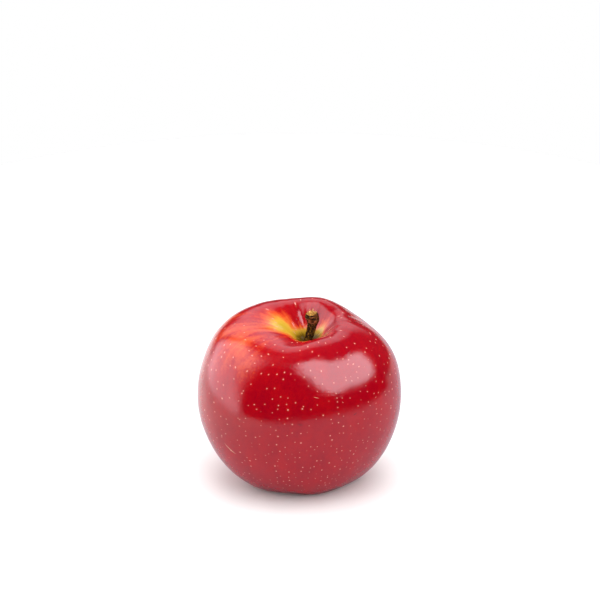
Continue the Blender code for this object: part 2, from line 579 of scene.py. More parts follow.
@dataclass(frozen=True)
class SkinFinish:
    """Waxy apple skin: red blush over a yellow-green ground, streaked from stem to flower, with pale dots, and
    painted shade darkening its cavity and basin.

    Widths, spacings and depths of relief are in millimetres.
    """

    # ground colour to full red, by the blush
    blush_stops: tuple[tuple[float, Colour], ...] = (
        (0.0, (0.47, 0.30, 0.022)),
        (0.18, (0.57, 0.32, 0.035)),
        (0.38, (0.60, 0.155, 0.026)),
        (0.58, (0.56, 0.055, 0.012)),
        (0.78, (0.36, 0.002, 0.005)),
        (1.0, (0.255, 0.0, 0.0065)),
    )
    # how much each pattern swings the blush where the red is full, and how much more where it is thin
    streak_width: float = 2.1
    streak_swing: tuple[float, float] = (0.16, 0.26)
    band_width: float = 4.0
    band_swing: tuple[float, float] = (0.16, 0.30)
    mottle_width: float = 1.2
    mottle_swing: float = 0.26
    dot_spacing: float = 3.0
    dots_grow: tuple[float, float] = (22.0 * MM, 58.0 * MM)  # the heights between which dots get large and few
    side_reach: float = 29.0 * MM
    dot_colour: Colour = (0.70, 0.30, 0.27)
    dot_cover: float = 0.9
    halo_colour: Colour = (0.66, 0.15, 0.05)
    halo_cover: float = 0.18
    russet: Colour = (0.09, 0.050, 0.003)
    ray_width: float = 1.6
    # painted shade: down in the cavity and the basin the skin darkens towards this dark olive, by the depth
    olive: Colour = (0.15, 0.078, 0.001)
    painted_shade_share: float = 0.75
    cloud_width: float = 3.0
    waxy: tuple[float, float] = (0.05, 0.08)  # the roughness at least, and how much more in clouded places
    dot_roughness: float = 0.15
    corky_roughness: float = 0.16
    peel_width: float = 1.4
    peel_depth: float = 0.022
    dimple_width: float = 0.6
    dimple_depth: float = 0.042
    dot_height: float = 0.02
    refraction: float = 1.475
    marks: tuple[Mark, ...] = (
        Mark((-26.3, -27.0, 25.0), (3.6, 0.10, 0.8), (0.0, 37.0, -27.0), (0.62, 0.30, 0.20), 0.75),
        Mark((-3.3, -27.8, 60.2), (1.1, 0.22, 1.2), (0.0, 60.0, 70.0), (0.10, 0.02, 0.01), 0.6),
        Mark((6.4, -32.6, 49.6), (1.3, 1.0, 0.13), (0.0, 16.0, 12.0), (0.70, 0.36, 0.22), 0.8),
        Mark((21.0, -29.3, 41.0), (1.1, 1.0, 0.28), (0.0, -25.0, 30.0), (0.10, 0.002, 0.01), 0.8),
        Mark((0.4, -35.4, 39.5), (1.5, 1.0, 0.30), (0.0, 8.0, 3.0), (0.12, 0.002, 0.01), 0.6),
        Mark((13.5, -31.3, 24.6), (2.2, 1.0, 0.10), (0.0, -6.0, 22.0), (0.16, 0.004, 0.01), 0.5),
    )

    def made(self, name: str, gloss: float) -> bpy.types.Material:
        """The material.

        Args:
            name: Its name.
            gloss: Its specular level: 0.5 where the skin is waxy, and less where it is corky.

        Returns:
            The material.
        """
        paint = Paint(name)
        place = paint.place()
        grain = paint.attribute(Follow.GRAIN)
        depth = paint.attribute(Follow.DEPTH, number=True)
        colour = paint.ramp(self.blush(paint, place, grain), self.blush_stops)
        # painted shade: darker olive down in the cavity and the basin
        colour = paint.blend(paint.times(depth, self.painted_shade_share), colour, self.olive)
        colour = paint.blend(self.russeting(paint, grain, depth), colour, self.russet)
        dots, halos = self.dots(paint, place)
        colour = paint.blend(paint.times(halos, self.halo_cover), colour, self.halo_colour)
        colour = paint.blend(paint.times(dots, self.dot_cover), colour, self.dot_colour)
        for mark in self.marks:
            colour = mark.laid(paint, place, colour)
        cloud = paint.noise(place, self.cloud_width, 3.0)
        roughness = paint.plus(paint.line(cloud, self.waxy[1], self.waxy[0]), paint.times(dots, self.dot_roughness))
        corky = paint.times(paint.maths("POWER", depth, 4.0), self.corky_roughness)
        peel = paint.bump(paint.noise(place, self.peel_width, 1.0), self.peel_depth)
        dimples = paint.bump(paint.noise(place, self.dimple_width, 2.0, 0.6), self.dimple_depth, peel)
        normal = paint.bump(dots, self.dot_height, dimples)
        roughness = paint.maths("MAXIMUM", roughness, corky)
        return paint.finished(colour, roughness, normal, IOR=self.refraction, Specular_IOR_Level=gloss)

    def blush(self, paint: Paint, place: Feed, grain: Feed) -> bpy.types.NodeSocket:
        """The strength of the red, from the grown pattern, its streaks and its mottling.

        Args:
            paint: The material's nodes.
            place: The place on the object.
            grain: The place along the skin's grain.

        Returns:
            The blush, from 0 to 1.
        """
        base = paint.attribute(Follow.BLUSH, number=True)
        bare = paint.maths("SUBTRACT", 1.0, base, clamp=True)
        streaks = paint.noise(paint.drawn(grain, 0.15), self.streak_width, 3.0, 0.55, 0.3)
        bands = paint.noise(paint.drawn(grain, 0.35), self.band_width, 2.0)
        mottle = paint.noise(place, self.mottle_width, 3.0, 0.6)
        # streaks are strongest where the red is thin, faint where it is full, and fainter where there is none
        thin = paint.times(paint.rise(bare, 0.0, 0.35), paint.rise(bare, 1.1, 0.5, 0.25, 1.0))
        blush = base
        for pattern, (full, more) in ((streaks, self.streak_swing), (bands, self.band_swing)):
            blush = paint.swung(pattern, paint.line(thin, more, full), blush)
        return paint.swung(mottle, self.mottle_swing, blush, clamp=True)

    def russeting(self, paint: Paint, grain: Feed, depth: Feed) -> bpy.types.NodeSocket:
        """How much the rough brown of the cavity and the basin covers the skin, in rays.

        Args:
            paint: The material's nodes.
            grain: The place along the skin's grain.
            depth: How deep in the cavity or the basin the skin is.

        Returns:
            The cover, from 0 to 1.
        """
        rays = paint.noise(paint.drawn(grain, 0.3), self.ray_width, 4.0, 0.65)
        return paint.times(paint.rise(paint.line(depth, 0.5, rays), 0.72, 1.05), depth)

    def dots(self, paint: Paint, place: Feed) -> tuple[bpy.types.NodeSocket, bpy.types.NodeSocket]:
        """The skin's pale breathing dots: small and many low down, large and few near the stem.

        Args:
            paint: The material's nodes.
            place: The place on the object.

        Returns:
            The dots and the faint halos around them, from 0 to 1.
        """
        high = paint.rise(paint.split(place)[2], *self.dots_grow)
        flat = paint.around(paint.attribute(Follow.DOTS), self.side_reach)
        distance, chance = paint.cells(flat, self.dot_spacing)
        which, size, strength = paint.split(chance)
        strong = paint.maths("MAXIMUM", paint.times(high, 0.7), paint.rise(strength, 0.25, 0.9, 0.35, 1.0))
        there = paint.rise(which, paint.line(high, 0.28, 0.25), paint.line(high, 0.28, 0.40))
        there = paint.times(there, strong)
        reach = paint.line(size, 0.14, paint.line(high, 0.08, 0.17))
        dots = paint.rise(distance, reach, paint.times(reach, 0.55))
        halos = paint.rise(distance, paint.times(reach, 2.6), paint.times(reach, 0.6))
        return paint.times(dots, there), paint.times(halos, there)


@dataclass(frozen=True)
class BarkFinish:
    """The stem's bark: olive green below, dark brown and rough above, with a pale broken top, and painted shade on
    the left side of its end.

    Widths and depths of relief are in millimetres.
    """

    olive: Colour = (0.10, 0.052, 0.004)
    brown: Colour = (0.085, 0.022, 0.004)
    # also carries the painted shade on the left side of the stem's end
    black_and_painted_shade: Colour = (0.008, 0.0025, 0.001)
    scar: Colour = (0.34, 0.12, 0.045)
    wood: Colour = (0.42, 0.20, 0.035)
    splinter: Colour = (0.72, 0.45, 0.17)
    blotch_width: float = 1.5
    blotch_depth: float = 0.35
    scar_width: float = 2.1
    thread_width: float = 0.35
    thread_depth: float = 0.16
    pit_width: float = 0.7
    # where each starts and is full, in metres above the stem's end
    # painted shade on the left side of the end: where it starts below the end, and sideways from right to left
    painted_shade_from: tuple[float, float] = (-3.6 * MM, -2.2 * MM)
    painted_shade_side: tuple[float, float] = (0.5 * MM, -1.1 * MM)  # sideways, from right to left
    rim_from: tuple[float, float] = (-1.8 * MM, -0.6 * MM)
    pitted_from: tuple[float, float] = (-1.0 * MM, 0.0)
    wood_from: tuple[float, float] = (0.1 * MM, 0.5 * MM)
    splinters_from: tuple[float, float] = (0.7 * MM, 1.2 * MM)
    gloss: float = 0.05

    def made(self, length: float) -> bpy.types.Material:
        """The material.

        Args:
            length: The stem's length, which the colours change along.

        Returns:
            The material.
        """
        paint = Paint("stem_bark")
        grain = paint.attribute(Follow.GRAIN)
        side, _, along = paint.split(grain)
        blotches = paint.noise(grain, self.blotch_width, 4.0, 0.62, 0.6)
        threads = paint.noise(paint.drawn(grain, 0.45), self.thread_width, 3.0, 0.6)
        age = paint.swung(blotches, 0.9, paint.maths("DIVIDE", along, length))
        colour = paint.blend(paint.rise(age, 0.42, 0.62), self.olive, self.brown)
        # painted shade: the left side of the stem's end is darkened towards black, on top of the bark's own dark
        # blotches and darker rim
        above = paint.maths("SUBTRACT", along, length)
        end = paint.rise(above, *self.painted_shade_from)
        painted_left_shade = paint.times(end, paint.rise(side, *self.painted_shade_side, 0.0, 0.10))
        rim = paint.rise(above, *self.rim_from, 0.0, 0.05)
        dark = paint.plus(paint.plus(blotches, rim), painted_left_shade)
        colour = paint.blend(paint.rise(dark, 0.46, 0.53, 0.0, 0.95), colour, self.black_and_painted_shade)
        # the pale scars are kept off the painted shade
        scars = paint.maths("SUBTRACT", paint.noise(grain, self.scar_width, 2.0, 0.5, 0.3), painted_left_shade)
        scarred = paint.times(paint.rise(scars, 0.56, 0.62), paint.rise(age, 0.5, 0.7))
        colour = paint.blend(scarred, colour, self.scar)
        colour = paint.blend(paint.rise(threads, 0.56, 0.66, 0.0, 0.6), colour, self.wood)
        top = paint.line(threads, 0.6 * MM, above)
        colour = paint.blend(paint.rise(top, *self.wood_from), colour, self.wood)
        colour = paint.blend(paint.rise(top, *self.splinters_from), colour, self.splinter)
        pits = paint.noise(paint.place(), self.pit_width, 3.0, 0.65)
        pitted = paint.times(paint.rise(pits, 0.56, 0.66, 0.0, 0.8), paint.rise(above, *self.pitted_from))
        colour = paint.blend(pitted, colour, self.brown)
        normal = paint.bump(threads, self.thread_depth, paint.bump(blotches, self.blotch_depth))
        return paint.finished(colour, paint.line(threads, 0.2, 0.75), normal, Specular_IOR_Level=self.gloss)


@dataclass(frozen=True)
class DryFinish:
    """Dried flower parts: brown and papery, greyer where they are downy. Widths and depths are in millimetres."""

    name: str
    base: Colour
    downy: Colour
    dark: Colour
    vein_width: float = 0.35
    vein_depth: float = 0.08
    patch_width: float = 1.4
    patch_depth: float = 0.12

    def made(self) -> bpy.types.Material:
        """The material.

        Returns:
            The material.
        """
        paint = Paint(self.name)
        grain = paint.attribute(Follow.GRAIN)
        veins = paint.noise(paint.drawn(grain, 0.2), self.vein_width, 3.0, 0.6)
        patches = paint.noise(grain, self.patch_width, 3.0, 0.6, 0.4)
        colour = paint.blend(paint.rise(patches, 0.38, 0.68), self.base, self.downy)
        colour = paint.blend(paint.rise(veins, 0.5, 0.75, 0.0, 0.7), colour, self.dark)
        normal = paint.bump(veins, self.vein_depth, paint.bump(patches, self.patch_depth))
        return paint.finished(colour, paint.line(veins, 0.2, 0.7), normal)


@dataclass(frozen=True)
class TableFinish:
    """Matt white studio card with the faintest tooth."""

    white: Colour = (0.84, 0.84, 0.84)
    warm: Colour = (0.82, 0.815, 0.81)
    mirrored: Colour = (0.0, 0.0, 0.14)  # what the card turns towards where the fruit mirrors it
    dimming: float = 0.46  # and by how much
    bright_from: float = -130.0 * MM  # how far left it no longer does, towards the left panel
    cloud_width: float = 60.0
    tooth_width: float = 0.8
    tooth_depth: float = 0.01
    roughness: float = 0.85

    def made(self) -> bpy.types.Material:
        """The material.

        Returns:
            The material.
        """
        paint = Paint("table_card")
        place = paint.place()
        card = paint.blend(paint.noise(place, self.cloud_width, 3.0), self.white, self.warm)
        in_gloss = paint.node("ShaderNodeLightPath").outputs["Is Glossy Ray"]
        dimmed = paint.rise(paint.split(place)[0], self.bright_from, 0.0, 0.0, self.dimming)
        card = paint.blend(paint.times(in_gloss, dimmed), card, self.mirrored)
        tooth = paint.bump(paint.noise(place, self.tooth_width, 3.0), self.tooth_depth)
        return paint.finished(card, self.roughness, tooth)


@dataclass(frozen=True)
class Wave:
    """A cosine around the core: its height, where it peaks in degrees, and how often."""

    amount: float
    at: float
    times: int

    def height(self, angle: float) -> float:
        """The wave's height at an angle in radians."""
        return self.amount * math.cos(self.times * (angle - math.radians(self.at)))


@dataclass(frozen=True)
class Growth:
    """How the fruit grew away from a turned body."""

    swell: tuple[Wave, ...] = (Wave(0.092, 180.0, 1), Wave(0.055, 6.0, 2), Wave(0.02, -24.0, 3))
    lobe: Wave = Wave(0.01, -78.0, 5)
    lobe_at_shoulder: float = 0.25
    crown: tuple[Wave, ...] = (Wave(1.6 * MM, 90.0, 1), Wave(-0.6 * MM, 10.0, 3), Wave(0.4 * MM, -78.0, 5))
    foot: Wave = Wave(-0.3 * MM, -78.0, 5)
    lean: Wave = Wave(0.18, 213.0, 1)
    round_within: tuple[float, float] = (4.0 * MM, 16.0 * MM)
    lean_within: tuple[float, float] = (20.0 * MM, 38.0 * MM)
    upper_within: tuple[float, float] = (0.45, 1.0)  # shares of the height
    lower_below: float = 0.55

    def grown(self, point: Vector, height: float) -> Vector:
        """Where growth puts a point of the turned fruit.

        Args:
            point: The point.
            height: The turned fruit's height.

        Returns:
            The grown point.
        """
        radius, angle = polar(point)
        if radius < self.round_within[0]:
            return point.copy()
        share = point.z / height
        outer = smoothstep(*self.round_within, radius)
        upper = smoothstep(*self.upper_within, share)
        lower = smoothstep(0.0, 1.0, (self.lower_below - share) / self.lower_below)
        lobed = self.lobe.height(angle) * (self.lobe_at_shoulder + (1.0 - self.lobe_at_shoulder) * lower)
        swelling = sum(wave.height(angle) for wave in self.swell) + lobed
        crown = sum(wave.height(angle) for wave in self.crown)
        inner = outer * upper * (1.0 - smoothstep(*self.lean_within, radius))
        scale = (1.0 + outer * swelling) * (1.0 + inner * self.lean.height(angle))
        lift = outer * (upper * crown + lower * self.foot.height(angle))
        return Vector((point.x * scale, point.y * scale, point.z + lift))


@dataclass(frozen=True)
class Patch:
    """A place where the red is thin: its angle, distance from the core, widths, and how thin."""

    at: float
    distance: float
    turn_width: float
    distance_width: float
    amount: float

    def share(self, angle: float, distance: float) -> float:
        """How much red is missing at an angle in degrees and a distance in millimetres."""
        near = bell(distance - self.distance, self.distance_width)
        return self.amount * near * bell(turn_between(angle, self.at), self.turn_width)


@dataclass
class Fruit:
    """The fruit: flesh and skin in one closed body, with its cavity above and its basin below."""

    # (distance from the core, height) from the cavity's floor over the shoulder to the basin's roof
    stations: tuple[tuple[float, float], ...] = (
        (0.0, 57.0), (2.0, 57.6), (6.0, 60.5), (11.0, 64.8), (17.0, 67.3), (24.6, 65.0), (32.4, 58.0),
        (36.8, 47.0), (38.0, 34.5), (35.6, 21.8), (29.8, 9.9), (22.2, 1.5), (15.4, -1.2), (9.2, 3.3),
        (6.0, 8.8), (2.8, 10.1), (0.0, 10.1),
    )
    # where the skin closes around the stem: (distance from the core, height above the cavity's floor)
    collar: tuple[tuple[float, float], ...] = (
        (0.0, -3.0), (1.2, -3.0), (1.75, -2.7), (1.86, -1.8), (1.93, -0.9), (2.12, -0.1), (2.5, 0.35),
    )
    # the small cup that the flower left: (distance from the core, height above the basin's roof)
    cup: tuple[tuple[float, float], ...] = (
        (2.5, 0.12), (2.1, 0.35), (1.9, 0.9), (1.88, 1.7), (1.7, 2.25), (1.2, 2.4), (0.0, 2.4),
    )
    joins_at: float = 2.9
    cuts_per_station: int = 12
    cuts_around: int = 240
    flat_depth: float = 0.45 * MM
    growth: Growth = Growth()
    finish: SkinFinish = SkinFinish()
    swell_size: float = 11.0 * MM
    swell_depth: float = 0.10 * MM
    fine_size: float = 4.4 * MM
    fine_depth: float = 0.035 * MM
    even_within: tuple[float, float] = (8.0 * MM, 3.5 * MM)  # around the stem
    even_below: float = 6.0 * MM
    pucker_within: tuple[float, float] = (36.0 * MM, 14.0 * MM)
    pucker_depth: float = 0.09 * MM
    pucker_spread: float = 3.2
    crown_lift: float = 0.45 * MM  # the back of the crown stands a little higher
    crown_at: float = 100.0
    crown_turn: float = 55.0
    crown_distance: float = 19.0 * MM
    crown_width: float = 9.0 * MM
    middle_height: float = 35.0 * MM
    upper_from: float = 45.0 * MM  # the height above which the skin belongs to the crown and the cavity
    grain_radius: float = 22.0 * MM  # at which the grain's width is true
    dots_drawn: float = 0.35  # how much longer dots are near the cavity's rim
    dots_drawn_within: tuple[float, float] = (27.0 * MM, 15.0 * MM)
    dots_drawn_about: float = 24.0 * MM
    full_red: float = 0.93
    red_wander: float = 0.05
    wander_size: float = 14.0 * MM
    floor_bare: float = 0.80
    floor_within: tuple[float, float] = (7.5 * MM, 3.5 * MM)
    basin_bare: float = 0.45
    basin_within: tuple[float, float] = (14.0 * MM, 5.0 * MM)
    cavity_deep: tuple[float, float] = (7.0 * MM, 3.0 * MM)
    basin_deep: tuple[float, float] = (11.0 * MM, 4.0 * MM)
    basin_depth: float = 0.85
    gloss: float = 0.5
    corky_gloss: float = 0.10
    corky_from: float = 0.20  # the depth below which the skin is dull
    upper_patches: tuple[Patch, ...] = (
        Patch(194.0, 24.0, 34.0, 10.0, 0.19),
        Patch(218.0, 32.0, 20.0, 9.0, 0.20),
        Patch(168.0, 35.0, 26.0, 7.0, 0.26),
        Patch(174.0, 9.5, 34.0, 6.6, 1.0),
        Patch(33.0, 5.5, 16.0, 3.8, 0.85),
        Patch(114.0, 5.0, 30.0, 3.0, 0.30),
    )
    core: Vector = field(default_factory=Vector)
    cavity_floor: float = 0.0
    basin_roof: float = 0.0
    lengths: list[float] = field(default_factory=list)

    def outline(self) -> list[tuple[float, float]]:
        """Works out the whole outline, and the heights of the cavity's floor and the basin's roof.

        Returns:
            (distance from the core, height) in metres, from the bottom of the collar to the top of the cup.
        """
        count = (len(self.stations) - 1) * self.cuts_per_station
        skin = [spline_point(self.stations, step / self.cuts_per_station) for step in range(count + 1)]
        floor, roof = skin[0][1], skin[-1][1]
        self.cavity_floor, self.basin_roof = floor * MM, roof * MM
        open_skin = [(r, z) for r, z in skin if r > self.joins_at]
        collar = [(r, floor + rise) for r, rise in self.collar]
        cup = [(r, roof + rise) for r, rise in self.cup]
        return [(r * MM, z * MM) for r, z in collar + open_skin + cup]

    def build(self) -> bpy.types.Object:
        """Builds the fruit and sets where its cavity and its basin are.

        Returns:
            The piece.
        """
        low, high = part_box("stamens")
        self.core = Vector(((low.x + high.x) / 2.0, (low.y + high.y) / 2.0, 0.0))
        outline = self.outline()
        ways = self.ways_along(outline)
        shape = turned(outline, self.cuts_around)
        shape.verts.ensure_lookup_table()
        height = max(z for _, z in outline)
        grain = [self.grain_at(vertex.co, ways) for vertex in shape.verts]
        for vertex in shape.verts:
            vertex.co = self.growth.grown(vertex.co, height)
        shape.normal_update()
        moves = [self.unevenness(vertex.co, way) for vertex, way in zip(shape.verts, grain)]
        for vertex, move in zip(shape.verts, moves):
            vertex.co += vertex.normal * move
        sink = min(vertex.co.z for vertex in shape.verts) + self.flat_depth
        for vertex in shape.verts:
            vertex.co.z = max(vertex.co.z - sink, 0.0)
        self.cavity_floor -= sink
        self.basin_roof -= sink
        places = [vertex.co.copy() for vertex in shape.verts]
        bmesh.ops.translate(shape, verts=shape.verts, vec=self.core)
        piece = made_piece("fruit_skin", shape, ("fruit",))
        keep_values(piece, Follow.GRAIN, grain)
        patterns = {Follow.DOTS: self.dot_place, Follow.BLUSH: self.blush_at, Follow.DEPTH: self.depth_at}
        for name, value_at in patterns.items():
            keep_values(piece, name, [value_at(place) for place in places])
        return piece

    def dress(self, piece: bpy.types.Object) -> None:
        """Gives the fruit its waxy skin, and the floors of its cavity and basin their dull, corky one.

        Args:
            piece: The fruit's piece.
        """
        for name, gloss in (("apple_skin", self.gloss), ("corky_skin", self.corky_gloss)):
            piece.data.materials.append(self.finish.made(name, gloss))
        depths = piece.data.attributes[Follow.DEPTH.value].data
        for face in piece.data.polygons:
            depth = min(depths[vertex].value for vertex in face.vertices)
            face.material_index = int(depth > self.corky_from)

    def ways_along(self, outline: list[tuple[float, float]]) -> KDTree:
        """The outline's points, each with how far along the skin it is.

        Args:
            outline: The outline.

        Returns:
            A tree of the points, in the outline's order.
        """
        tree = KDTree(len(outline))
        self.lengths = [0.0]
        for (r0, z0), (r1, z1) in zip(outline, outline[1:]):
            self.lengths.append(self.lengths[-1] + math.hypot(r1 - r0, z1 - z0))
        for index, (r, z) in enumerate(outline):
            tree.insert((r, 0.0, z), index)
        tree.balance()
        return tree

    def grain_at(self, point: Vector, ways: KDTree) -> Vector:
        """The place along the skin's grain.

        Args:
            point: A point of the turned fruit.
            ways: The outline's points.

        Returns:
            The place: around the fruit in x and y, and from stem to flower in z.
        """
        radius, angle = polar(point)
        _, index, _ = ways.find((radius, 0.0, point.z))
        return outward(angle) * self.grain_radius + UP * self.lengths[index]

    def unevenness(self, place: Vector, grain: Vector) -> float:
        """How far the skin stands out from its smooth shape, in metres.

        Args:
            place: The place on the smooth shape.
            grain: Its place along the grain.

        Returns:
            The distance along the normal.
        """
        radius, angle = polar(place)
        upper = float(place.z > self.upper_from)
        swell = self.swell_depth * noise.noise(place / self.swell_size)
        fine = self.fine_depth * noise.noise(place / self.fine_size)
        across = Vector((grain.x / self.pucker_spread, grain.y / self.pucker_spread, 0.09 * grain.z))
        pucker = upper * self.pucker_depth * smoothstep(*self.pucker_within, radius) * noise.noise(across / MM)
        away = (1.0 - smoothstep(*self.even_within, radius)) * smoothstep(0.0, self.even_below, place.z)
        back = bell(turn_between(math.degrees(angle), self.crown_at), self.crown_turn)
        lift = upper * self.crown_lift * back * bell(radius - self.crown_distance, self.crown_width)
        return away * (swell + fine + pucker) + lift

    def dot_place(self, place: Vector) -> Vector:
        """The way from the fruit's middle that its dots follow, which draws them out near the stem.

        Args:
            place: The place on the skin, from the core's foot.

        Returns:
            The way.
        """
        radius, _ = polar(place)
        way = place - UP * self.middle_height
        if place.z < self.upper_from or radius < 1e-6:
            return way
        share = 1.0 - self.dots_drawn * smoothstep(*self.dots_drawn_within, radius)
        drawn = self.dots_drawn_about - (self.dots_drawn_about - radius) * share
        return Vector((place.x * drawn / radius, place.y * drawn / radius, way.z))

    def blush_at(self, place: Vector) -> float:
        """How full the red is.

        Args:
            place: The place on the skin, from the core's foot.

        Returns:
            The blush, from 0 to 1.
        """
        radius, angle = polar(place)
        upper = smoothstep(self.upper_from - 1.0 * MM, self.upper_from + 11.0 * MM, place.z)
        missing = upper * sum(patch.share(math.degrees(angle), radius / MM) for patch in self.upper_patches)
        floor = self.floor_bare * upper * smoothstep(*self.floor_within, radius)
        basin = self.basin_bare * (1.0 - upper) * smoothstep(*self.basin_within, radius)
        wander = self.red_wander * noise.noise(place / self.wander_size)
        return min(max(self.full_red - missing - max(floor, basin) + wander, 0.0), 1.0)

    def depth_at(self, place: Vector) -> float:
        """How deep in the cavity or the basin the skin is.

        Args:
            place: The place on the skin, from the core's foot.

        Returns:
            The depth, from 0 to 1.
        """
        radius, _ = polar(place)
        if place.z > self.upper_from:
            return smoothstep(*self.cavity_deep, radius)
        return self.basin_depth * smoothstep(*self.basin_deep, radius)


@dataclass
class Stem:
    """The woody stem: a bent, knobbly stalk with a swollen, broken end and loose fibres."""

    # (sideways, towards the back, height above the cavity's floor, thickness share)
    route: tuple[tuple[float, ...], ...] = (
        (-0.1, 0.0, -2.6, 1.15), (0.0, 0.0, 0.0, 1.15), (0.5, 0.1, 2.2, 1.1), (1.3, 0.3, 5.0, 1.02),
        (1.9, 0.4, 8.0, 1.25), (1.95, 0.4, 10.0, 1.72), (1.6, 0.3, 11.6, 1.72), (1.5, 0.3, 12.4, 1.35),
    )
    radius: float = 1.5 * MM
    cuts_along: int = 110
    cuts_around: int = 72
    cap_rings: int = 8
    ridges: int = 7
    ridge_depth: float = 0.03  # these depths are shares of the radius
    knob_depth: float = 0.17
    lump_depth: float = 0.13
    fine_depth: float = 0.06
    ragged_depth: float = 0.55 * MM
    ragged_size: float = 0.55 * MM
    splinter_depth: float = 0.3 * MM
    splinter_size: float = 0.22 * MM
    hollow_depth: float = 0.35 * MM
    bare_wood: float = 0.7 * MM
    fibres: int = 15
    fibre_reach: tuple[float, float] = (0.45, 0.98)  # shares of the radius
    fibre_length: tuple[float, float] = (0.7 * MM, 1.6 * MM)
    fibre_lean: tuple[float, float] = (0.1, 0.8)
    fibre_radii: tuple[float, float] = (0.13 * MM, 0.03 * MM)
    fibre_sunk: float = 0.25 * MM
    seed: int = 5
    finish: BarkFinish = BarkFinish()
    base: Vector = field(default_factory=Vector)
    length: float = 15.4 * MM

    def centre(self, share: float) -> tuple[Vector, float]:
        """The middle of the stem and its thickness share.

        Args:
            share: How far along the stem, from 0 to 1.

        Returns:
            The point above the cavity's floor, and the thickness share.
        """
        # the end stations are doubled, so that the smooth line starts and ends on them
        stations = (self.route[0],) + self.route + (self.route[-1],)
        x, y, z, thickness = spline_point(stations, 1.0 + share * (len(self.route) - 1))
        return Vector((x, y, z)) * MM, thickness

    def swept(self, share: float, offset: Vector) -> Vector:
        """A point beside the stem's middle line.

        Args:
            share: How far along the stem, from 0 to 1.
            offset: The point's offset from the middle line of an upright stem.

        Returns:
            The point, in the frame.
        """
        middle, _ = self.centre(share)
        ahead, _ = self.centre(min(share + 0.02, 1.0))
        behind, _ = self.centre(max(share - 0.02, 0.0))
        turn = UP.rotation_difference(ahead - behind)
        return self.base + middle + turn @ offset

    def girth(self, share: float, angle: float) -> float:
        """The stem's radius, with its ridges and knobs.

        Args:
            share: How far along the stem, from 0 to 1.
            angle: Where around it.

        Returns:
            The radius.
        """
        _, thickness = self.centre(share)
        around = outward(angle)
        knobs = self.knob_depth * noise.noise(around * 0.9 + UP * share * 7.0)
        lumps = self.lump_depth * noise.noise(around * 2.1 + UP * share * 19.0 + Vector((7.0, 0.0, 0.0)))
        fine = self.fine_depth * noise.noise(around * 5.0 + UP * share * 34.0)
        ridge = self.ridge_depth * math.cos(self.ridges * angle + 5.0 * share)
        rough = 0.35 + 0.65 * smoothstep(0.25, 0.75, share)
        return self.radius * thickness * (1.0 + ridge + rough * (knobs + lumps + fine))

    def build(self, fruit: Fruit) -> list[bpy.types.Object]:
        """Builds the stem and its loose fibres.

        Args:
            fruit: The fruit that it grows from.

        Returns:
            The two pieces.
        """
        self.base = Vector((fruit.core.x, fruit.core.y, fruit.cavity_floor))
        outline = [(0.0, 0.0), (0.5, 0.0)]
        outline += [(1.0, step / self.cuts_along) for step in range(self.cuts_along + 1)]
        outline += [(1.0 - ring / self.cap_rings, 1.0 + 0.01 * ring) for ring in range(1, self.cap_rings + 1)]
        shape = turned(outline, self.cuts_around)
        grain = []
        for vertex in shape.verts:
            share = min(max(vertex.co.z, 0.0), 1.0)
            cap = max(vertex.co.z - 1.0, 0.0) * 100.0 / self.cap_rings
            reach, angle = polar(vertex.co)
            side = outward(angle) * (min(reach, 1.0) * self.girth(share, angle))
            # the broken top is ragged: high at its rim, with splinters over its face
            ragged = self.ragged_depth * noise.noise(side / self.ragged_size)
            ragged += self.splinter_depth * noise.noise((side + UP * 4.0 * MM) / self.splinter_size)
            top = smoothstep(0.93, 1.0, share)
            end = ragged * top - self.hollow_depth * smoothstep(0.0, 0.6, cap)
            vertex.co = self.swept(share, side + UP * end)
            wood_from = self.length + self.bare_wood * smoothstep(0.0, 0.2, cap)
            grain.append(side.normalized() * self.radius + UP * (share * wood_from + end * top))
        bmesh.ops.recalc_face_normals(shape, faces=shape.faces)
        stem = made_piece("stem_bark", shape, ("stem",))
        keep_values(stem, Follow.GRAIN, grain)
        return [stem, self.build_fibres()]

    def build_fibres(self) -> bpy.types.Object:
        """Builds the short fibres that stand out from the broken end.

        Returns:
            The piece.
        """
        chance = random.Random(self.seed)
        shape = bmesh.new()
        grain = []
        for _ in range(self.fibres):
            angle = chance.uniform(0.0, math.tau)
            reach = chance.uniform(*self.fibre_reach)
            length = chance.uniform(*self.fibre_length)
            turn = UP.rotation_difference(UP + outward(angle) * chance.uniform(*self.fibre_lean))
            foot_radius, tip_radius = self.fibre_radii
            made = bmesh.ops.create_cone(
                shape, cap_ends=True, segments=6, radius1=foot_radius, radius2=tip_radius, depth=length
            )
            foot = outward(angle) * self.girth(1.0, angle) * reach
            for vertex in made["verts"]:
                offset = foot + turn @ (vertex.co + UP * (length / 2.0 - self.fibre_sunk))
                vertex.co = self.swept(1.0, offset)
                grain.append(UP * (self.length + 0.5 * MM) + offset)
        bmesh.ops.recalc_face_normals(shape, faces=shape.faces)
        fibres = made_piece("stem_fibres", shape, ())
        keep_values(fibres, Follow.GRAIN, grain)
        return fibres

    def dress(self, pieces: list[bpy.types.Object]) -> None:
        """Gives the stem and its fibres their bark.

        Args:
            pieces: The two pieces.
        """
        bark = self.finish.made(self.length)
        for piece in pieces:
            piece.data.materials.append(bark)


